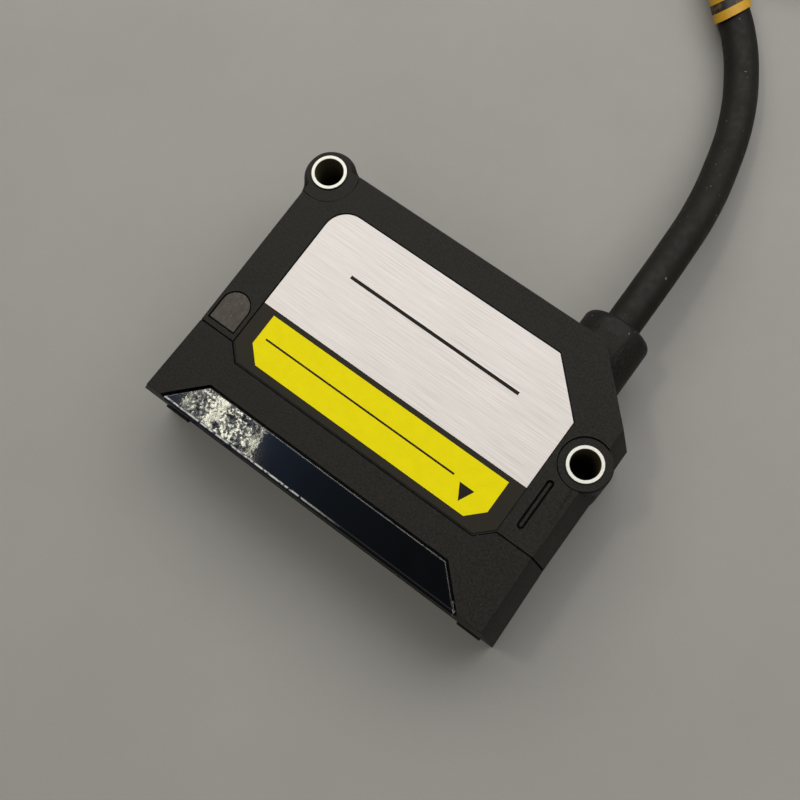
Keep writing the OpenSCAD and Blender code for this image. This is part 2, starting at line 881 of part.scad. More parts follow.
// Laser diode: flange, can and pins
module laser_diode() {
    back = diode_seat + flange_t;
    color("goldenrod") union() {
        rod_y(laser_x, axis_z, diode_seat, back, diode_r);
        rod_y(laser_x, axis_z, diode_seat - can_l, diode_seat, can_r);
        for (p = PINS) rod_y(laser_x + p.x, axis_z + p.y, back, back + pin_l, pin_r);
    }
}

// Small board on the diode's pins, standing against the main board
module laser_board() {
    y0 = diode_seat + flange_t + pin_l - board_t - pin_tail;
    half = laser_board_w / 2;
    color(board_green) difference() {
        block([laser_x - half, y0, deck], [laser_x + half, y0 + board_t, board_z]);
        for (p = PINS) rod_y(laser_x + p.x, axis_z + p.y, y0 - over, y0 + board_t + over, pin_r + fit);
    }
}

// Tube that holds the collimator lens
module collimator_barrel() {
    color("#3b3d40") difference() {
        rod_y(laser_x, axis_z, barrel_front, barrel_back, barrel_r);
        rod_y(laser_x, axis_z, barrel_front - over, barrel_back + over, barrel_r - barrel_wall);
    }
}

// A lens with one flat and one domed face, along +Y from its flat face
module flat_lens(r, edge, dome) {
    ball = (r * r + dome * dome) / (2 * dome);
    intersection() {
        rod_y(0, 0, 0, edge + dome, r);
        translate([0, edge + dome - ball, 0]) sphere(r = ball);
    }
}

// Collimator lens near the front of the barrel
module collimator_lens() {
    color(glass) translate([laser_x, barrel_front + collimator_in, axis_z])
        flat_lens(collimator_r, collimator_edge, collimator_dome);
}

// Upright plate that keeps stray light of the laser away from the receiver
module light_shield() {
    color("#222222") block([shield_x, barrel_front, deck],
                           [shield_x + shield_t, shield_back, board_z - board_clear]);
}

// Moves its children to the receiving lens, with -Y along the received light
module at_receiver() {
    translate([RECEIVER.x, RECEIVER.y, 0]) rotate(receive_a) children();
}

// Block that holds the receiving lens
module receiver_mount() {
    color("#3b3d40") at_receiver() difference() {
        block([-mount_half, -mount_l / 2, deck], [mount_half, mount_l / 2, board_z - board_clear]);
        rod_y(0, axis_z, -mount_l / 2 - over, mount_l / 2 + over, receive_r - receive_lip);
        rod_y(0, axis_z, -mount_l / 2 - over, receive_t / 2, receive_r + fit / 2);
    }
}

// Receiving lens, domed to the front
module receiver_lens() {
    color(glass) at_receiver() translate([0, receive_t / 2, axis_z]) mirror([0, 1, 0])
        flat_lens(receive_r, receive_t / 2, receive_t / 2);
}

// Line image sensor that reads the spot's place
module image_sensor() {
    half = sensor_w / 2;
    slot = half - sensor_rim;
    color("#26282c") at_receiver() difference() {
        block([-half, focus_l, deck + sensor_raise], [half, focus_l + sensor_t, axis_z + sensor_over]);
        block([-slot, focus_l - over, axis_z - sensor_slot_h / 2],
              [slot, focus_l + sensor_slot_t, axis_z + sensor_slot_h / 2]);
    }
}

// Board that carries the image sensor, between the base and the main board
module sensor_board() {
    half = sensor_w / 2 + sensor_rim;
    front = focus_l + sensor_t;
    color(board_green) at_receiver() block([-half, front, deck], [half, front + board_t, board_z]);
}

// Main board under the label wall
module main_board() {
    color(board_green) translate([0, 0, board_z]) linear_extrude(board_t) difference() {
        hollow_plan(joint_y + board_front, -board_edge);
        translate([cable_x - gland_r - board_edge, bush_in - board_edge]) square(far);
        for (h = HOLES) translate(h) circle(r = boss_r + board_edge);
        for (p = POSTS) translate(p) circle(r = post_r + 2 * fit);
        for (p = STUBS) translate(p) circle(r = small_r + 1.5 * fit);
    }
}

// Signal processor on the main board
module processor() {
    color("#202124") translate([CHIP.x, CHIP.y, board_z - chip_t]) cube([chip_w, chip_l, chip_t]);
}

// Small screws that hold the main board
module board_screws() {
    color(steel) for (p = STUBS)
        screw(p, board_z - small_head_h, small_head_r, small_head_h, small_r, small_l);
}

// Socket on the main board that takes the cable's wires
module cable_socket() {
    half = socket_w / 2;
    color("#d9d2c0") block([cable_x - half, socket_back - socket_l, mid_z - socket_drop],
                           [cable_x + half, socket_back, board_z]);
}

// Four wires from the cable to the socket
module cable_wires() {
    off = wire_pitch / 2;
    color("firebrick") for (x = [-off, off], z = [-off, off])
        rod_y(cable_x + x, mid_z + z, socket_back, cable_in, wire_r);
}

// Metal ring that keeps the cable from being pulled out
module cable_ferrule() {
    color(steel) difference() {
        rod_y(cable_x, mid_z, bush_in - ferrule_l, bush_in, cable_r + ferrule_t);
        rod_y(cable_x, mid_z, bush_in - ferrule_l - over, bush_in + over, cable_r + fit / 2);
    }
}

// Rubber bush that seals the cable and rounds off the gland
module cable_bush() {
    bore = cable_r + fit / 2;
    color(black_rubber) difference() {
        translate([cable_x, bush_in, mid_z]) rotate([-90, 0, 0]) rotate_extrude() {
            translate([bore, 0]) square([flange_r - bore, gland_in - bush_in]);
            translate([bore, 0]) square([bush_r - bore, bush_y - bush_in]);
            translate([bore, gland_y - bush_in]) square([gland_r - bore, bush_out - bush_round]);
            translate([bore, gland_y - bush_in]) square([gland_r - bush_round - bore, bush_out]);
            intersection() {
                translate([gland_r - bush_round, bush_y - bush_round - bush_in]) circle(r = bush_round);
                translate([bore, gland_y - bush_in]) square([gland_r, bush_out]);
            }
        }
        gland_flat_cut();
        translate([cable_x, bush_y - mouth_l, mid_z]) rotate([-90, 0, 0])
            cylinder(r1 = bore - fit / 2, r2 = bore + mouth_w, h = mouth_l + fit / 2);
    }
}

// Height of the loop's centre line after a turn of t degrees
function ease(t) = t <= 0 ? 0 : t >= 1 ? 1 : t * t * (3 - 2 * t);
function loop_z(t) = loop_in + (loop_low - loop_in) * ease(t / loop_fall)
    + (loop_high - loop_low) * ease((t - loop_rise_from) / loop_rise);

// A point of the loop after a turn of t degrees, and one on the straight tail behind it
function loop_point(t) =
    [LOOP.x + loop_r * cos(loop_start - t), LOOP.y + loop_r * sin(loop_start - t), loop_z(t)];
function tail_point(p) = let (end = loop_point(loop_turn))
    [end.x + p[0] * TAIL_DIR.x, end.y + p[0] * TAIL_DIR.y, p[1]];

CABLE = concat([[cable_x, cable_in, mid_z], [cable_x, bush_y, mid_z]], ROUTE,
               [for (t = [0 : loop_step : loop_turn]) loop_point(t)], [for (p = TAIL) tail_point(p)]);

function unit(v) = v / norm(v);
function along(v, i) = unit(v[min(i + 1, len(v) - 1)] - v[max(i - 1, 0)]);

// Tube of radius r swept along the points v
module swept_tube(v, r) {
    n = cable_sides;
    last = len(v) - 1;
    start_dir = [0, 1, 0];
    end_dir = [TAIL_DIR.x, TAIL_DIR.y, 0];
    dirs = [for (i = [0 : last]) i <= 1 ? start_dir : i == last ? end_dir : along(v, i)];
    rings = [for (i = [0 : last]) let (side = unit(cross(dirs[i], [0, 0, 1])), up = cross(side, dirs[i]))
        for (k = [0 : n - 1]) v[i] + r * (cos(k * 360 / n) * side + sin(k * 360 / n) * up)];
    walls = [for (i = [0 : last - 1], k = [0 : n - 1])
        [i * n + k, i * n + (k + 1) % n, (i + 1) * n + (k + 1) % n, (i + 1) * n + k]];
    caps = [[for (k = [n - 1 : -1 : 0]) k], [for (k = [0 : n - 1]) last * n + k]];
    polyhedron(rings, concat(walls, caps));
}

// Cable from the ferrule to the plug
module cable() {
    color("#302d2a") swept_tube(CABLE, cable_r);
}

// Striped sleeve on the straight stretch of the cable
module cable_sleeve() {
    color("#be8c14") translate([SLEEVE.x, SLEEVE.y, loop_in]) rotate(sleeve_heading) difference() {
        rotate([0, 90, 0]) cylinder(r = cable_r + fit / 2 + sleeve_wall, h = sleeve_l);
        translate([-over, 0, 0]) rotate([0, 90, 0])
            cylinder(r = cable_r + fit / 2, h = sleeve_l + 2 * over);
        rotate([0, -sleeve_tilt, sleeve_slant]) block([-far, -far, -far], [sleeve_cut, far, far]);
    }
}

// Outline of the cable tie round two strands, grown by g
module tie_plan(g) {
    r = cable_r + tie_slack + g;
    low = loop_in - cable_r - fit - g + r;
    high = loop_high + cable_r + fit + g - r;
    for (y = [low, high]) translate([0, y]) circle(r = r);
    translate([-r, low]) square([2 * r, high - low]);
}

// Tie that holds the loop together
module cable_tie() {
    color("#26262a") translate([TIE.x, TIE.y, 0]) rotate(tie_heading + 90) rotate([90, 0, 0])
        translate([0, 0, -tie_w / 2]) linear_extrude(tie_w) difference() {
            tie_plan(tie_t);
            tie_plan(0);
        }
}

// Moves its children to the cable's end, with +Z along the plug
module at_plug() {
    end = tail_point(TAIL[1]);
    translate(end) rotate(tail_heading) rotate([0, 90, 0]) children();
}

// Moulded plug with a tapered boot and a ribbed grip
module plug_body() {
    neck = cable_r + neck_wall;
    waist = plug_r - waist_step;
    end = boot_l + plug_l;
    color("#232325") at_plug() rotate_extrude() difference() {
        polygon([[0, 0], [neck, 0], [waist, boot_l], [plug_r, boot_l + waist_step],
                 [plug_r, end - grip_edge], [plug_r - grip_edge, end], [0, end]]);
        translate([-over, end - nose_in]) square([nose_r + fit / 2 + over, nose_in + over]);
        for (i = [0 : rib_n - 1])
            translate([plug_r - rib_t, boot_l + rib_from + i * 2 * rib_w]) square([rib_t + over, rib_w]);
    }
}

// Metal nose of the plug
module plug_nose() {
    color(steel) at_plug() translate([0, 0, boot_l + plug_l - nose_in]) difference() {
        cylinder(r = nose_r, h = nose_in + nose_l);
        translate([0, 0, nose_floor]) cylinder(r = nose_r - nose_wall, h = nose_in + nose_l);
    }
}

// Insulating insert in the plug's nose
module plug_insert() {
    length = nose_in + nose_l - nose_floor - insert_back;
    color("#151515") at_plug() translate([0, 0, boot_l + plug_l - nose_in + nose_floor]) difference() {
        cylinder(r = insert_r, h = length);
        translate([0, 0, contact_seat]) {
            for (p = CONTACTS) translate(p) cylinder(r = contact_r + fit / 2, h = length);
            block([insert_r - key_t, -key_w / 2, 0], [nose_r, key_w / 2, length]);
        }
    }
}

// Hollow contacts in the insert
module plug_contacts() {
    start = boot_l + plug_l - nose_in + nose_floor + contact_seat;
    length = nose_in + nose_l - nose_floor - contact_seat - contact_back;
    color("gold") at_plug() translate([0, 0, start]) for (p = CONTACTS) translate(p) difference() {
        cylinder(r = contact_r, h = length);
        translate([0, 0, contact_hole]) cylinder(r = contact_r - contact_wall, h = length);
    }
}

main_case();
collar_left();
collar_right();
front_bezel();
bezel_seal();
front_window();
window_seal();
indicator_lens();
indicator_led();
nameplate();
lower_label();
yellow_label();
back_cover();
cover_seal();
cover_screws();
optical_base();
laser_holder();
laser_diode();
laser_board();
collimator_barrel();
collimator_lens();
light_shield();
receiver_mount();
receiver_lens();
image_sensor();
sensor_board();
main_board();
processor();
board_screws();
cable_socket();
cable_wires();
cable_ferrule();
cable_bush();
cable();
cable_sleeve();
cable_tie();
plug_body();
plug_nose();
plug_insert();
plug_contacts();
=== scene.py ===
import json
import math

import bmesh
import bpy
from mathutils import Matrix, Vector


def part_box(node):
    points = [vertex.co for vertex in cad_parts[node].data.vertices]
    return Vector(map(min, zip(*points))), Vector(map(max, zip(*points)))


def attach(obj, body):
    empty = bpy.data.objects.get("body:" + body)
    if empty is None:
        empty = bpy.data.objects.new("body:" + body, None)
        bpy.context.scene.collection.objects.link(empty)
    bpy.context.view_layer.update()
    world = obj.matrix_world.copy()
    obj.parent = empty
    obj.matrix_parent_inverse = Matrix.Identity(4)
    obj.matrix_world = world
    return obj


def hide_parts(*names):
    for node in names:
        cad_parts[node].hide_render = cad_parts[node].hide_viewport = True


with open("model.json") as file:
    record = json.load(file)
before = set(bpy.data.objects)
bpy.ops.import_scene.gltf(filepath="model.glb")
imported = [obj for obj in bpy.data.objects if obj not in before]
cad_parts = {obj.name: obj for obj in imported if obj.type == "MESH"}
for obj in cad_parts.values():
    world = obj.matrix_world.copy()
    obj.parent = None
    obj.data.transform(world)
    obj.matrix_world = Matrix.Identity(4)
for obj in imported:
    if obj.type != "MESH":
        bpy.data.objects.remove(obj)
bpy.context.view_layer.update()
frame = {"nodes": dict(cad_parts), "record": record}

# Sizes are written in millimetres and turned into metres here
MM = 0.001
NODES = frame["nodes"]
BODY = "root"
SLOTS = {part["node"]: part["material_slot"] for part in frame["record"]["subparts"]}

# Outline of the label face: half width, half depth, x + y along the cut corner, and its height
FACE_HALF_W = 30.65
FACE_HALF_D = 22.65
FACE_CUT = 43.75
FACE_Z = 20.0


def mm(*values):
    """A point given in millimetres, in metres."""
    return Vector(values) * MM


def middle(node):
    """Middle of a node's box, in metres."""
    low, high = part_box(node)
    return (low + high) / 2


def add_object(name, data):
    """A new object in the scene."""
    made = bpy.data.objects.new(name, data)
    bpy.context.collection.objects.link(made)
    return made


def fill_ramp(ramp, stops):
    """Sets the stops of a colour ramp: (place, colour) pairs."""
    while len(ramp.elements) < len(stops):
        ramp.elements.new(1.0)
    for element, (place, colour) in zip(ramp.elements, stops):
        element.position = place
        element.color = (*colour, 1.0)


# Camera, fitted to the label face and the mounting holes in the photo: its place, its turn in
# degrees, its lens and sensor width, and the nearest distance in metres that it shows

CAMERA_AT = (31.80, -23.12, 170.03)
CAMERA_TURN = (12.952, 4.478, 36.594)
CAMERA_LENS = 46.98
CAMERA_SENSOR = 36.0
CAMERA_NEAR = 0.01


def make_camera():
    """The camera stands over the front right of the label face and looks down on it."""
    data = bpy.data.cameras.new("camera")
    data.sensor_width = CAMERA_SENSOR
    data.lens = CAMERA_LENS
    data.clip_start = CAMERA_NEAR
    camera = add_object("camera", data)
    camera.location = mm(*CAMERA_AT)
    camera.rotation_euler = [math.radians(a) for a in CAMERA_TURN]
    bpy.context.scene.camera = camera


# Cable route, the same points as the solid cable's

# Thickness and length of the cable, and where it leaves the gland and starts inside it
CABLE_D = 5.8
CABLE_EXIT = (21.15, 28.4, 10.0)
CABLE_IN = (21.15, 10.45, 10.0)
# Points from the gland to the loop
ROUTE = [
    (21.15, 36.0, 9.9), (21.0, 44.0, 9.0), (20.5, 53.0, 7.3),
    (19.0, 62.0, 5.4), (16.0, 72.5, 3.9), (12.0, 80.5, 3.4),
    (8.0, 86.0, 3.4), (3.0, 91.0, 3.4), (-9.5, 103.5, 3.4),
]
# The loop in plan, with its start, whole turn and step in degrees
LOOP_CENTRE = (-1.5, 136.5)
LOOP_R = 29.0
LOOP_START = 225.0
LOOP_TURN = 350
LOOP_STEP = 25
# Turns in degrees over which the loop comes down, and where and how long it climbs
LOOP_FALL = 50.0
LOOP_RISE_FROM = 180.0
LOOP_RISE = 155.0
# Heights of the loop: where it comes in, where it lies and where it crosses over
LOOP_IN = 3.4
LOOP_LOW = 2.9
LOOP_HIGH = 9.4
# After the loop: distance straight on, and height there
TAIL = [(10.0, 8.4), (20.0, 7.0)]


def ease(t):
    """Smooth step from 0 to 1."""
    t = min(max(t, 0.0), 1.0)
    return t * t * (3.0 - 2.0 * t)


def loop_point(turn):
    """A point on the loop after a turn in degrees: down on the surface, then up over its own start."""
    angle = math.radians(LOOP_START - turn)
    height = LOOP_IN + (LOOP_LOW - LOOP_IN) * ease(turn / LOOP_FALL)
    height += (LOOP_HIGH - LOOP_LOW) * ease((turn - LOOP_RISE_FROM) / LOOP_RISE)
    x = LOOP_CENTRE[0] + LOOP_R * math.cos(angle)
    y = LOOP_CENTRE[1] + LOOP_R * math.sin(angle)
    return (x, y, height)


def cable_points():
    """The whole route from inside the gland to the plug."""
    points = [CABLE_IN, CABLE_EXIT] + ROUTE
    points += [loop_point(turn) for turn in range(0, LOOP_TURN + 1, LOOP_STEP)]
    end = loop_point(LOOP_TURN)
    angle = math.radians(LOOP_START - LOOP_TURN)
    for ahead, height in TAIL:
        points.append((end[0] + ahead * math.sin(angle), end[1] - ahead * math.cos(angle), height))
    return points


def make_cable(material):
    """The free cable as one smooth round curve along its route."""
    points = cable_points()
    curve = bpy.data.curves.new("cable_jacket", "CURVE")
    curve.dimensions = "3D"
    curve.bevel_depth = 1.0
    curve.bevel_resolution = 10
    curve.resolution_u = 10
    curve.use_fill_caps = True
    spline = curve.splines.new("BEZIER")
    spline.bezier_points.add(len(points) - 1)
    for knot, point in zip(spline.bezier_points, points):
        knot.co = mm(*point)
        knot.radius = CABLE_D / 2 * MM
        knot.handle_left_type = "AUTO"
        knot.handle_right_type = "AUTO"
    curve.materials.append(material)
    cable = add_object("cable_jacket", curve)
    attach(cable, BODY)
    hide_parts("cable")


# Materials

class Shader:
    """A node material on one Principled shader, with short ways to add detail."""

    def __init__(self, name, colour, roughness, metallic=0.0, specular=0.5):
        self.material = bpy.data.materials.new(name)
        self.material.use_nodes = True
        self.tree = self.material.node_tree
        self.bsdf = self.tree.nodes["Principled BSDF"]
        self.colour = colour
        self.bsdf.inputs["Base Color"].default_value = (*colour, 1.0)
        self.bsdf.inputs["Roughness"].default_value = roughness
        self.bsdf.inputs["Metallic"].default_value = metallic
        self.bsdf.inputs["Specular IOR Level"].default_value = specular
        self.coords = self.node("ShaderNodeTexCoord").outputs["Object"]
        self.base = None
        self.normal = None

    def node(self, kind, **settings):
        """A new node with some of its settings."""
        made = self.tree.nodes.new(kind)
        for key, value in settings.items():
            setattr(made, key, value)
        return made

    def link(self, output, socket):
        """Feeds an output into a socket."""
        self.tree.links.new(output, socket)

    def mapped(self, scale=(1, 1, 1), place=(0, 0, 0)):
        """Object coordinates, moved to a place and stretched."""
        mapping = self.node("ShaderNodeMapping", vector_type="TEXTURE")
        mapping.inputs["Location"].default_value = place
        mapping.inputs["Scale"].default_value = scale
        self.link(self.coords, mapping.inputs["Vector"])
        return mapping.outputs["Vector"]

    def along(self, axis):
        """Distance along one axis of the object."""
        split = self.node("ShaderNodeSeparateXYZ")
        self.link(self.coords, split.inputs["Vector"])
        return split.outputs[axis]

    def noise(self, size, vector=None, detail=3.0):
        """Noise with features of about the given size in millimetres."""
        made = self.node("ShaderNodeTexNoise")
        made.inputs["Scale"].default_value = 1.0 / (size * MM)
        made.inputs["Detail"].default_value = detail
        self.link(vector or self.coords, made.inputs["Vector"])
        return made.outputs["Fac"]

    def span(self, value, low, high, to_low=0.0, to_high=1.0):
        """A value from low to high, spread from to_low to to_high."""
        made = self.node("ShaderNodeMapRange")
        made.inputs["From Min"].default_value = low
        made.inputs["From Max"].default_value = high
        made.inputs["To Min"].default_value = to_low
        made.inputs["To Max"].default_value = to_high
        self.link(value, made.inputs["Value"])
        return made.outputs["Result"]

    def times(self, a, b):
        """Product of two values."""
        made = self.node("ShaderNodeMath", operation="MULTIPLY")
        self.link(a, made.inputs[0])
        self.link(b, made.inputs[1])
        return made.outputs["Value"]

    def ramp(self, value, stops, interpolation="LINEAR"):
        """Colours along a value."""
        made = self.node("ShaderNodeValToRGB")
        made.color_ramp.interpolation = interpolation
        fill_ramp(made.color_ramp, stops)
        self.link(value, made.inputs["Fac"])
        return made.outputs["Color"]

    def paint(self, colour):
        """Sets the base colour from a node."""
        self.base = colour
        self.link(colour, self.bsdf.inputs["Base Color"])

    def mottle(self, value, spread, low=0.35, high=0.65):
        """Colour that varies round the base colour."""
        dark = [c * (1 - spread) for c in self.colour]
        light = [min(c * (1 + spread), 1.0) for c in self.colour]
        self.paint(self.ramp(value, [(low, dark), (high, light)]))

    def cover(self, factor, colour):
        """A second colour over the base where the factor is high."""
        mix = self.node("ShaderNodeMix", data_type="RGBA")
        self.link(factor, mix.inputs["Factor"])
        self.link(self.base, mix.inputs[6])
        mix.inputs[7].default_value = (*colour, 1.0)
        self.paint(mix.outputs[2])

    def rough(self, value, low, high):
        """Roughness that varies from low to high."""
        self.link(self.span(value, 0.3, 0.7, low, high), self.bsdf.inputs["Roughness"])

    def bump(self, value, height):
        """Relief of about the given height in millimetres."""
        made = self.node("ShaderNodeBump")
        made.inputs["Distance"].default_value = height * MM
        self.link(value, made.inputs["Height"])
        if self.normal:
            self.link(self.normal, made.inputs["Normal"])
        self.normal = made.outputs["Normal"]
        self.link(self.normal, self.bsdf.inputs["Normal"])

    def edges(self, width):
        """1 close to edges, within a width in millimetres, and 0 on flats."""
        rounded = self.node("ShaderNodeBevel", samples=6)
        rounded.inputs["Radius"].default_value = width * MM
        dot = self.node("ShaderNodeVectorMath", operation="DOT_PRODUCT")
        self.link(rounded.outputs["Normal"], dot.inputs[0])
        self.link(self.node("ShaderNodeNewGeometry").outputs["Normal"], dot.inputs[1])
        return self.span(dot.outputs["Value"], 0.99, 0.85)

    def wear_and_highlight(self, width, colour, patch=1.5, share=0.42):
        """Lighter edges in a colour, broken up in patches: worn edges, and on rounded edges a painted
        highlight; share is the noise level where they start.
        """
        broken = self.span(self.noise(patch), share, share + 0.2)
        self.cover(self.times(self.edges(width), broken), colour)

    def painted_corner_shade(self, reach, colour):
        """Painted shade: a dark colour in corners and seams where little open air is seen, up to a reach
        in millimetres.
        """
        open_air = self.node("ShaderNodeAmbientOcclusion", samples=6)
        open_air.inputs["Distance"].default_value = reach * MM
        self.cover(self.span(open_air.outputs["AO"], 0.8, 0.4), colour)

    def specks(self, size, share, colour):
        """Sparse specks of dust; share is the noise level above which they show."""
        self.cover(self.span(self.noise(size, detail=1.0), share, share + 0.04), colour)


def moulded(name, colour, roughness=0.55, grain=0.34, height=0.05):
    """Moulded plastic: fine spark-eroded grain, slow drift of colour, worn edges with a painted
    highlight, a little dust, and painted shade in corners and seams.
    """
    shader = Shader(name, colour, roughness, specular=0.14)
    fine = shader.noise(grain)
    shader.mottle(fine, 0.6, 0.34, 0.66)
    shader.cover(shader.span(shader.noise(6.0), 0.4, 0.7, 0.0, 0.3), [c * 1.25 for c in colour])
    # Lighter edges: worn edges with a painted highlight
    shader.wear_and_highlight(0.22, [c * 2.6 for c in colour])
    shader.specks(0.4, 0.77, (0.055, 0.053, 0.048))
    # Painted shade in corners and seams
    shader.painted_corner_shade(0.9, [c * 0.15 for c in colour])
    shader.rough(fine, roughness - 0.08, roughness + 0.1)
    shader.bump(fine, height)
    return shader.material


def rubber(name, colour, roughness=0.6):
    """Dull rubber or cable jacket: faint texture, wiped patches and dust."""
    shader = Shader(name, colour, roughness, specular=0.2)
    shader.mottle(shader.noise(4.0), 0.18)
    shader.specks(0.6, 0.75, (0.12, 0.115, 0.105))
    shader.rough(shader.noise(1.2), roughness - 0.1, roughness + 0.1)
    shader.bump(shader.noise(0.3), 0.012)
    return shader.material


def metal(name, colour, roughness=0.3, size=0.4):
    """Plain machined metal with uneven gloss and brighter edges."""
    shader = Shader(name, colour, roughness, metallic=1.0)
    fine = shader.noise(size)
    shader.mottle(shader.noise(3.0), 0.07)
    shader.wear_and_highlight(0.15, [min(c * 1.25, 0.95) for c in colour])
    shader.rough(fine, roughness - 0.08, roughness + 0.1)
    shader.bump(fine, 0.002)
    return shader.material


# Inner and outer radius of the collars
COLLAR_BORE = 2.25
COLLAR_R = 2.85


def turned_metal(name, colour, centre):
    """Bright turned metal: rings round its axis, a few scratches, and painted shade on its bore and its
    outer side.
    """
    shader = Shader(name, colour, 0.5, metallic=0.35, specular=0.4)
    flat = shader.mapped(scale=(1, 1, 1e6), place=(centre.x, centre.y, 0))
    radius = shader.node("ShaderNodeVectorMath", operation="LENGTH")
    shader.link(flat, radius.inputs[0])
    rings = shader.noise(0.1, radius.outputs["Value"])
    shader.mottle(rings, 0.09)
    scratches = shader.noise(0.5, shader.mapped(scale=(0.5, 3.0, 1.0)), detail=2.0)
    shader.cover(shader.span(scratches, 0.62, 0.7, 0.0, 0.6), (0.42, 0.39, 0.33))
    # Painted shade on the outer side of the collar
    outer = shader.span(radius.outputs["Value"], (COLLAR_R - 0.07) * MM, (COLLAR_R - 0.02) * MM)
    shader.cover(outer, (0.03, 0.028, 0.024))
    # Painted shade in the bore
    bore = shader.span(radius.outputs["Value"], (COLLAR_BORE + 0.1) * MM, (COLLAR_BORE + 0.03) * MM)
    shader.cover(bore, (0.10, 0.085, 0.05))
    shader.rough(rings, 0.45, 0.6)
    shader.bump(rings, 0.002)
    return shader.material


def brushed_plate(name):
    """Pale brushed metal with fine lines along its width and a faint haze."""
    shader = Shader(name, (0.655, 0.612, 0.588), 0.5, metallic=0.15, specular=0.3)
    lines = shader.noise(1.0, shader.mapped(scale=(8.0, 0.11, 1.0)), detail=4.0)
    shader.mottle(lines, 0.2, 0.25, 0.75)
    shader.cover(shader.span(shader.noise(14.0, detail=1.0), 0.45, 0.75, 0.0, 0.35), (0.69, 0.635, 0.625))
    shader.specks(0.3, 0.76, (0.55, 0.52, 0.50))
    shader.rough(lines, 0.44, 0.58)
    shader.bump(lines, 0.004)
    return shader.material


def printed(name, colour, roughness=0.5):
    """Printed label film: nearly even colour, faint orange peel and tiny worn specks."""
    shader = Shader(name, colour, roughness, specular=0.06)
    shader.mottle(shader.noise(1.8), 0.02)
    shader.specks(0.4, 0.77, [c * 0.6 + 0.02 for c in colour])
    shader.rough(shader.noise(0.8), roughness - 0.06, roughness + 0.06)
    shader.bump(shader.noise(0.6), 0.002)
    return shader.material


# Film on the window: its start and end along X, how ragged its edges are, and its cover on the way
FILM = (-23.5, -9.3)
FILM_RAGGED = 4.0
FILM_COVER = [
    (0.0, 0.0), (0.12, 1.0), (0.31, 1.0), (0.37, 0.15),
    (0.44, 0.15), (0.51, 1.0), (0.84, 1.0), (1.0, 0.0),
]
# Size of the holes torn in the film, and the shine of the window and of those holes
FILM_TORN = 2.2
FILM_TORN_SHINE = 0.05
WINDOW_SHINE = 0.42
# The painted highlight line along the window's front edge: its limits along Y, and where it fades along X
WINDOW_EDGE = (-22.72, -22.36)
WINDOW_EDGE_FADE = (6.0, -6.0)
# Colour of the painted highlights on the window's edges
EDGE_HIGHLIGHT = (0.80, 0.80, 0.77)
# A painted blue reflection on the window fades to black between these places along X
WINDOW_BLUE_REFLECTION = (-14.0, 16.0)


def window_gloss(name):
    """Polished black plastic with a painted blue reflection that fades along X, painted highlights on its
    edges, and a crinkled film on its left part.
    """
    shader = Shader(name, (0.0024, 0.0030, 0.0046), 0.05, specular=WINDOW_SHINE)
    across = shader.along("X")
    # Painted reflection: blue at the left end, fading through slate to black along X
    blue_reflection = shader.span(across, WINDOW_BLUE_REFLECTION[0] * MM, WINDOW_BLUE_REFLECTION[1] * MM)
    blue, slate, black = (0.0085, 0.0120, 0.0240), (0.0040, 0.0050, 0.0064), (0.0017, 0.0017, 0.0017)
    shader.paint(shader.ramp(blue_reflection, [(0.0, blue), (0.5, slate), (1.0, black)]))
    shader.cover(shader.span(shader.noise(4.0), 0.45, 0.75, 0.0, 0.4), (0.0030, 0.0034, 0.0046))
    film = shader.noise(0.42, detail=3.0)
    ragged = shader.node("ShaderNodeMath", operation="MULTIPLY_ADD")
    shader.link(shader.noise(1.6), ragged.inputs[0])
    ragged.inputs[1].default_value = FILM_RAGGED * MM
    shader.link(across, ragged.inputs[2])
    place = shader.span(ragged.outputs["Value"], FILM[0] * MM, FILM[1] * MM)
    worn = shader.ramp(place, [(stop, (level, level, level)) for stop, level in FILM_COVER])
    dull = shader.times(shader.span(film, 0.36, 0.64), worn)
    shader.link(shader.span(dull, 0.0, 1.0, 0.04, 0.42), shader.bsdf.inputs["Roughness"])
    torn = shader.times(worn, shader.span(shader.noise(FILM_TORN), 0.50, 0.56))
    shine = shader.span(torn, 0.0, 1.0, WINDOW_SHINE, FILM_TORN_SHINE)
    shader.link(shine, shader.bsdf.inputs["Specular IOR Level"])
    # Painted highlights on the window's rounded edges, broken up in patches
    shader.wear_and_highlight(0.26, EDGE_HIGHLIGHT, 0.8, 0.3)
    # A painted highlight line along the window's front edge, fading along X and broken up in patches
    edge = shader.span(shader.along("Y"), WINDOW_EDGE[0] * MM, WINDOW_EDGE[1] * MM)
    line = shader.ramp(edge, [(0.0, (0, 0, 0)), (0.35, (1, 1, 1)), (0.65, (1, 1, 1)), (1.0, (0, 0, 0))])
    fade = shader.span(across, WINDOW_EDGE_FADE[0] * MM, WINDOW_EDGE_FADE[1] * MM)
    highlight_patches = shader.times(fade, shader.span(shader.noise(0.6), 0.36, 0.52))
    shader.cover(shader.times(line, highlight_patches), EDGE_HIGHLIGHT)
    shader.bump(shader.times(film, worn), 0.012)
    return shader.material


def smoky_lens(name):
    """Smoky indicator plastic with a cloudy moulded grain."""
    shader = Shader(name, (0.040, 0.032, 0.024), 0.45, specular=0.3)
    streaks = shader.noise(0.9, shader.mapped(scale=(0.5, 1.6, 1.0)))
    shader.mottle(streaks, 0.3)
    shader.specks(0.3, 0.7, (0.12, 0.10, 0.085))
    shader.rough(shader.noise(0.5), 0.36, 0.55)
    shader.bump(shader.noise(0.3), 0.012)
    shader.bsdf.inputs["Transmission Weight"].default_value = 0.08
    return shader.material


# Where the sleeve's stripes start, which way they run and how far they are apart
SLEEVE_START = (4.72, 89.28, 3.4)
SLEEVE_AXIS = (-0.808, 0.385, 0.445)
STRIPE_PITCH = 3.0


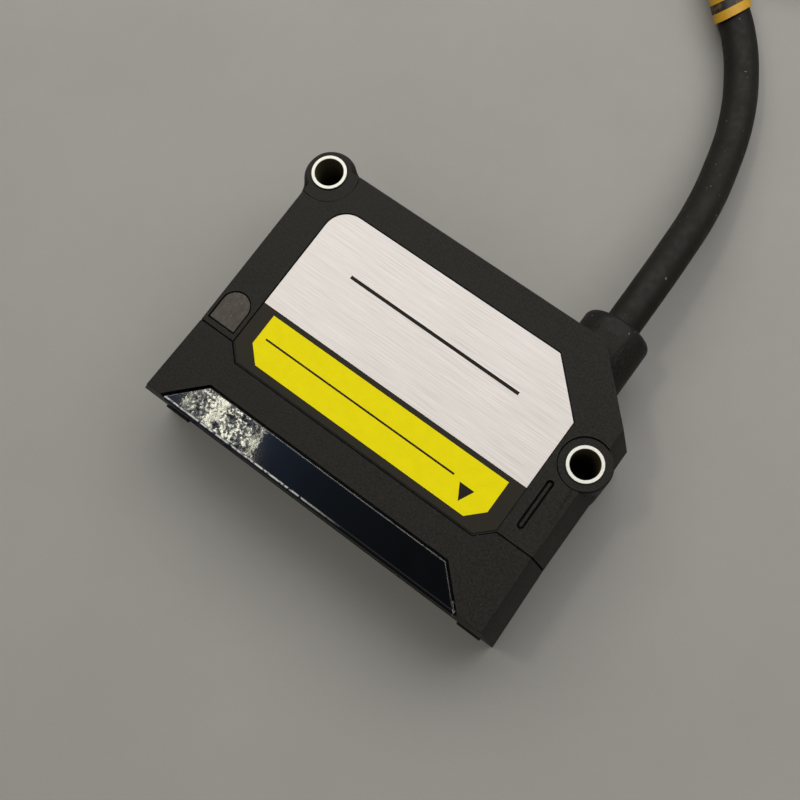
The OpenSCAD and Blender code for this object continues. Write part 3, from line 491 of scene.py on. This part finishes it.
def striped_sleeve(name):
    """Yellow vinyl sleeve with dark bands, slanted like its cut end."""
    yellow, dark = (0.50, 0.27, 0.010), (0.012, 0.010, 0.008)
    shader = Shader(name, yellow, 0.5, specular=0.35)
    along = shader.node("ShaderNodeVectorMath", operation="DOT_PRODUCT")
    shader.link(shader.mapped(place=mm(*SLEEVE_START)), along.inputs[0])
    along.inputs[1].default_value = Vector(SLEEVE_AXIS) / (STRIPE_PITCH * MM)
    saw = shader.node("ShaderNodeMath", operation="FRACT")
    shader.link(along.outputs["Value"], saw.inputs[0])
    shader.paint(shader.ramp(saw.outputs["Value"], [(0.0, yellow), (0.5, dark)], "CONSTANT"))
    shader.cover(shader.span(shader.noise(1.2), 0.5, 0.8, 0.0, 0.5), (0.36, 0.19, 0.02))
    shader.rough(shader.noise(1.0), 0.42, 0.58)
    shader.bump(shader.noise(0.5), 0.01)
    return shader.material


def clear_glass(name):
    """Coated optical glass."""
    shader = Shader(name, (0.85, 0.93, 0.96), 0.03)
    shader.mottle(shader.noise(3.0), 0.03)
    shader.rough(shader.noise(2.0), 0.02, 0.06)
    shader.bsdf.inputs["Transmission Weight"].default_value = 1.0
    shader.bsdf.inputs["IOR"].default_value = 1.52
    return shader.material


def make_materials():
    """One material for each slot of the record, apart from the collars."""
    return {
        "case_plastic": moulded("case_grain", (0.0120, 0.0109, 0.0088)),
        "bezel_plastic": moulded("bezel_grain", (0.0108, 0.0099, 0.0082)),
        "cover_plastic": moulded("cover_grain", (0.0082, 0.0078, 0.0071), 0.6),
        "seal_rubber": rubber("seal_black", (0.006, 0.006, 0.006), 0.7),
        "window_plastic": window_gloss("window_gloss"),
        "indicator_smoke": smoky_lens("indicator_smoky"),
        "led_body": moulded("led_ivory", (0.75, 0.72, 0.6), 0.4),
        "nameplate_metal": brushed_plate("nameplate_brushed"),
        "label_dark": printed("label_umber", (0.0240, 0.0208, 0.0158)),
        "label_yellow": printed("label_yellow", (0.74, 0.635, 0.0012)),
        "screw_steel": metal("screw_steel", (0.62, 0.62, 0.60)),
        "base_alloy": metal("base_alloy", (0.5, 0.52, 0.54), 0.42),
        "black_alloy": metal("black_alloy", (0.05, 0.05, 0.055), 0.45),
        "diode_metal": metal("diode_gold", (0.75, 0.52, 0.16)),
        "optical_glass": clear_glass("optical_glass"),
        "shield_plastic": moulded("shield_black", (0.008, 0.008, 0.008), 0.7),
        "chip_plastic": moulded("chip_black", (0.012, 0.012, 0.013), 0.5),
        "board_laminate": printed("board_green", (0.02, 0.13, 0.06), 0.35),
        "socket_plastic": moulded("socket_cream", (0.62, 0.57, 0.46), 0.5),
        "wire_jacket": rubber("wire_red", (0.35, 0.03, 0.02), 0.45),
        "bush_rubber": rubber("bush_black", (0.0090, 0.0085, 0.0078), 0.55),
        "cable_jacket": rubber("cable_black", (0.0095, 0.0080, 0.0060), 0.6),
        "sleeve_vinyl": striped_sleeve("sleeve_stripes"),
        "tie_plastic": moulded("tie_black", (0.012, 0.012, 0.0125), 0.45),
        "plug_plastic": moulded("plug_black", (0.012, 0.012, 0.0125), 0.5),
        "plug_metal": metal("plug_nickel", (0.66, 0.65, 0.62), 0.25),
        "insert_plastic": moulded("insert_black", (0.008, 0.008, 0.008), 0.55),
        "contact_metal": metal("contact_gold", (0.8, 0.58, 0.2)),
    }


def paint(piece, material):
    """Gives a piece one material."""
    piece.data.materials.clear()
    piece.data.materials.append(material)


# Softened copies of the solids

# Bends above which an edge is rounded, shaded sharp, or shaded as a crease between flats of an area
SHARP_BEND = math.radians(35)
SHARP_SHADE = math.radians(32)
CREASE_SHADE = math.radians(8)
CREASE_AREA = 4.0 * MM * MM


def clean_copy(name):
    """A bmesh of a node's solid with whole faces in place of triangles."""
    bm = bmesh.new()
    bm.from_mesh(NODES[name].data)
    bmesh.ops.remove_doubles(bm, verts=bm.verts, dist=0.002 * MM)
    bmesh.ops.dissolve_limit(bm, angle_limit=math.radians(0.6), verts=bm.verts, edges=bm.edges)
    return bm


def round_edges(bm, width, choose, segments=3):
    """Rounds the chosen sharp convex edges by a width in millimetres."""
    edges = []
    for edge in bm.edges:
        sharp = len(edge.link_faces) == 2 and edge.is_convex and edge.calc_face_angle() > SHARP_BEND
        if sharp and choose((edge.verts[0].co + edge.verts[1].co) / 2 / MM):
            edges.append(edge)
    bmesh.ops.bevel(bm, geom=edges, offset=width * MM, offset_type="OFFSET", segments=segments,
                    profile=0.5, affect="EDGES", clamp_overlap=True)


def mark_sharp(bm):
    """Smooth shading, apart from sharp bends and the creases between large flats."""
    for face in bm.faces:
        face.smooth = True
    for edge in bm.edges:
        if len(edge.link_faces) != 2:
            continue
        bend = edge.calc_face_angle()
        large = min(face.calc_area() for face in edge.link_faces) > CREASE_AREA
        edge.smooth = not (bend > SHARP_SHADE or (large and bend > CREASE_SHADE))


def soft_piece(name, passes, material):
    """A softened copy that stands for a node; passes are (width, choose) pairs."""
    bm = clean_copy(name)
    for width, choose in passes:
        round_edges(bm, width, choose)
    mark_sharp(bm)
    mesh = bpy.data.meshes.new(name + "_soft")
    bm.to_mesh(mesh)
    bm.free()
    piece = add_object(name + "_soft", mesh)
    shade = piece.modifiers.new("even_shading", "WEIGHTED_NORMAL")
    shade.keep_sharp = True
    paint(piece, material)
    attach(piece, BODY)
    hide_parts(name)
    return piece


def everywhere(p):
    """Chooses every edge."""
    return True


# Room inside the case and bezel: half width, then the limits along Y and Z
HOLLOW_HALF_W = 28.7
HOLLOW_Y = (-20.0, 20.7)
HOLLOW_Z = (0.4, 19.0)
# How far from an outline an edge still counts as on it
EDGE_REACH = 0.1


def inside(p):
    """True in the hollow of the case and bezel, which nobody sees."""
    return (abs(p.x) < HOLLOW_HALF_W and HOLLOW_Y[0] < p.y < HOLLOW_Y[1]
            and HOLLOW_Z[0] < p.z < HOLLOW_Z[1])


def near_collar(p, reach=5.4):
    """True close to a mounting hole."""
    spots = [middle(name) / MM for name in ("collar_left", "collar_right")]
    return min(math.hypot(p.x - spot.x, p.y - spot.y) for spot in spots) < reach


def rim(p):
    """True on the outer edges of the case and bezel."""
    if inside(p) or near_collar(p):
        return False
    if p.z < FACE_Z - EDGE_REACH:
        return p.z > EDGE_REACH or abs(p.x) > FACE_HALF_W or abs(p.y) > FACE_HALF_D
    return (abs(p.x) > FACE_HALF_W - EDGE_REACH or abs(p.y) > FACE_HALF_D - EDGE_REACH
            or p.x + p.y > FACE_CUT - EDGE_REACH)


def detail(p):
    """True on the small edges that show."""
    return not inside(p)


# Widths of the rounded edges of each softened node, with the edges that they are for
SOFT = {
    "main_case": [(0.2, rim), (0.06, detail)],
    "front_bezel": [(0.2, rim), (0.06, detail)],
    "front_window": [(0.22, everywhere)],
    "collar_left": [(0.12, everywhere)],
    "collar_right": [(0.12, everywhere)],
    "indicator_lens": [(0.12, everywhere)],
    "cable_bush": [(0.15, everywhere)],
    "back_cover": [(0.12, everywhere)],
    "cover_screws": [(0.1, everywhere)],
    "cable_tie": [(0.08, everywhere)],
    "plug_body": [(0.2, everywhere)],
    "plug_nose": [(0.12, everywhere)],
}


def make_pieces(materials):
    """Softens the solids that show, paints the others, and returns the pieces by node."""
    pieces = {}
    for name in NODES:
        if name in SOFT:
            pieces[name] = soft_piece(name, SOFT[name], materials[name])
        elif name != "cable":
            paint(NODES[name], materials[name])
            pieces[name] = NODES[name]
    return pieces


def node_materials():
    """The material of each node, with rings of its own for each collar."""
    by_slot = make_materials()
    steel = (0.72, 0.705, 0.645)
    made = {name: by_slot[slot] for name, slot in SLOTS.items() if slot in by_slot}
    for name in ("collar_left", "collar_right"):
        made[name] = turned_metal(name + "_turned", steel, middle(name))
    return made


# Printed marks

# Thickness of the printed marks
PRINT_T = 0.015
# Ends and widths of the printed lines, and the corners of the triangle, in plan
YELLOW_RULE = ((-20.5, -6.6), (14.7, -6.6))
YELLOW_RULE_W = 0.3
POINTER = [(16.0, -7.0), (17.4, -9.45), (18.6, -7.0)]
PLATE_RULE = ((-15.9, 8.8), (15.4, 8.6))
PLATE_RULE_W = 0.55


def flat_print(name, outline, carrier, material):
    """A thin printed shape on top of a label: its outline in plan, in millimetres."""
    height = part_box(carrier)[1].z / MM
    bm = bmesh.new()
    face = bm.faces.new([bm.verts.new(mm(x, y, height)) for x, y in outline])
    grown = bmesh.ops.extrude_face_region(bm, geom=[face])
    top = [v for v in grown["geom"] if isinstance(v, bmesh.types.BMVert)]
    bmesh.ops.translate(bm, verts=top, vec=mm(0, 0, PRINT_T))
    bmesh.ops.recalc_face_normals(bm, faces=bm.faces)
    mesh = bpy.data.meshes.new(name)
    bm.to_mesh(mesh)
    bm.free()
    piece = add_object(name, mesh)
    paint(piece, material)
    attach(piece, BODY)


def bar(start, end, width):
    """Outline of a straight line of a given width between two points, along X."""
    half = width / 2
    below = [(start[0], start[1] - half), (end[0], end[1] - half)]
    above = [(end[0], end[1] + half), (start[0], start[1] + half)]
    return below + above


def make_prints():
    """A plain line and a triangle that points to the front on the yellow label, a line on the plate."""
    ink = printed("print_black", (0.016, 0.013, 0.010), 0.5)
    flat_print("print_rule", bar(*YELLOW_RULE, YELLOW_RULE_W), "yellow_label", ink)
    flat_print("print_pointer", POINTER, "yellow_label", ink)
    flat_print("print_plate_rule", bar(*PLATE_RULE, PLATE_RULE_W), "nameplate", ink)


# Stage

# How far the floor lies below the object, and half its width in metres
FLOOR_DROP = 0.2
FLOOR_HALF = 2.0


def make_floor():
    """A plain grey floor just under the object."""
    mesh = bpy.data.meshes.new("floor")
    half, z = FLOOR_HALF, -FLOOR_DROP * MM
    corners = [(-half, -half, z), (half, -half, z), (half, half, z), (-half, half, z)]
    mesh.from_pydata(corners, [], [(0, 1, 2, 3)])
    floor = add_object("floor", mesh)
    shader = Shader("floor_grey", (0.298, 0.286, 0.270), 0.65, specular=0.3)
    shader.mottle(shader.noise(30.0), 0.02)
    shader.rough(shader.noise(3.0), 0.6, 0.7)
    shader.bump(shader.noise(0.5), 0.02)
    paint(floor, shader.material)


def area_light(name, place, aim, size, power, colour):
    """A rectangular lamp at a place in metres, turned to a point."""
    data = bpy.data.lights.new(name, "AREA")
    data.shape = "RECTANGLE"
    data.size, data.size_y = size
    data.energy = power
    data.color = colour
    light = add_object(name, data)
    light.location = place
    light.rotation_euler = (Vector(aim) - Vector(place)).to_track_quat("-Z", "Y").to_euler()


# Light of the sky by the sine of its height
SKY = [(0.0, (0.05, 0.05, 0.05)), (0.5, (0.17, 0.17, 0.168)), (0.72, (0.62, 0.62, 0.61)),
       (0.86, (0.62, 0.62, 0.61)), (0.955, (0.05, 0.065, 0.09))]


def make_world():
    """Soft light from all round, dim at the horizon and straight overhead."""
    world = bpy.data.worlds.new("studio")
    bpy.context.scene.world = world
    world.use_nodes = True
    tree = world.node_tree
    split = tree.nodes.new("ShaderNodeSeparateXYZ")
    sky = tree.nodes.new("ShaderNodeValToRGB")
    fill_ramp(sky.color_ramp, SKY)
    tree.links.new(tree.nodes.new("ShaderNodeTexCoord").outputs["Generated"], split.inputs["Vector"])
    tree.links.new(split.outputs["Z"], sky.inputs["Fac"])
    tree.links.new(sky.outputs["Color"], tree.nodes["Background"].inputs["Color"])


# Key lamp: place, aim and size in metres, power in watts
KEY_AT = (-0.07, 0.28, 0.45)
KEY_AIM = (0, 0.01, 0.01)
KEY_SIZE = (1.0, 0.4)
KEY_POWER = 3.0
KEY_COLOUR = (1.0, 0.985, 0.96)
# Ceiling lamps in metres: place along X and width of each, then their shared Y, height, aim and length
CEILING = [(-0.2345, 0.0165), (-0.2005, 0.028)]
CEILING_Y = -0.076
CEILING_Z = 0.60
CEILING_AIM = (-0.02, -0.02, 0.02)
CEILING_L = 0.08
# Watts for each metre of a ceiling lamp's width, and its colour
CEILING_POWER = 9.5
CEILING_COLOUR = (1.0, 0.98, 0.78)


def make_lights():
    """A broad key lamp from behind and two small ceiling lamps that the window mirrors."""
    area_light("key", KEY_AT, KEY_AIM, KEY_SIZE, KEY_POWER, KEY_COLOUR)
    for number, (x, width) in enumerate(CEILING):
        area_light(f"ceiling_{number}", (x, CEILING_Y, CEILING_Z), CEILING_AIM, (CEILING_L, width),
                   CEILING_POWER * width, CEILING_COLOUR)


make_camera()
make_world()
make_lights()
make_floor()
MATERIALS = node_materials()
PIECES = make_pieces(MATERIALS)
make_cable(MATERIALS["cable"])
make_prints()

bpy.context.scene.view_settings.view_transform = "Standard"
bpy.context.view_layer.update()
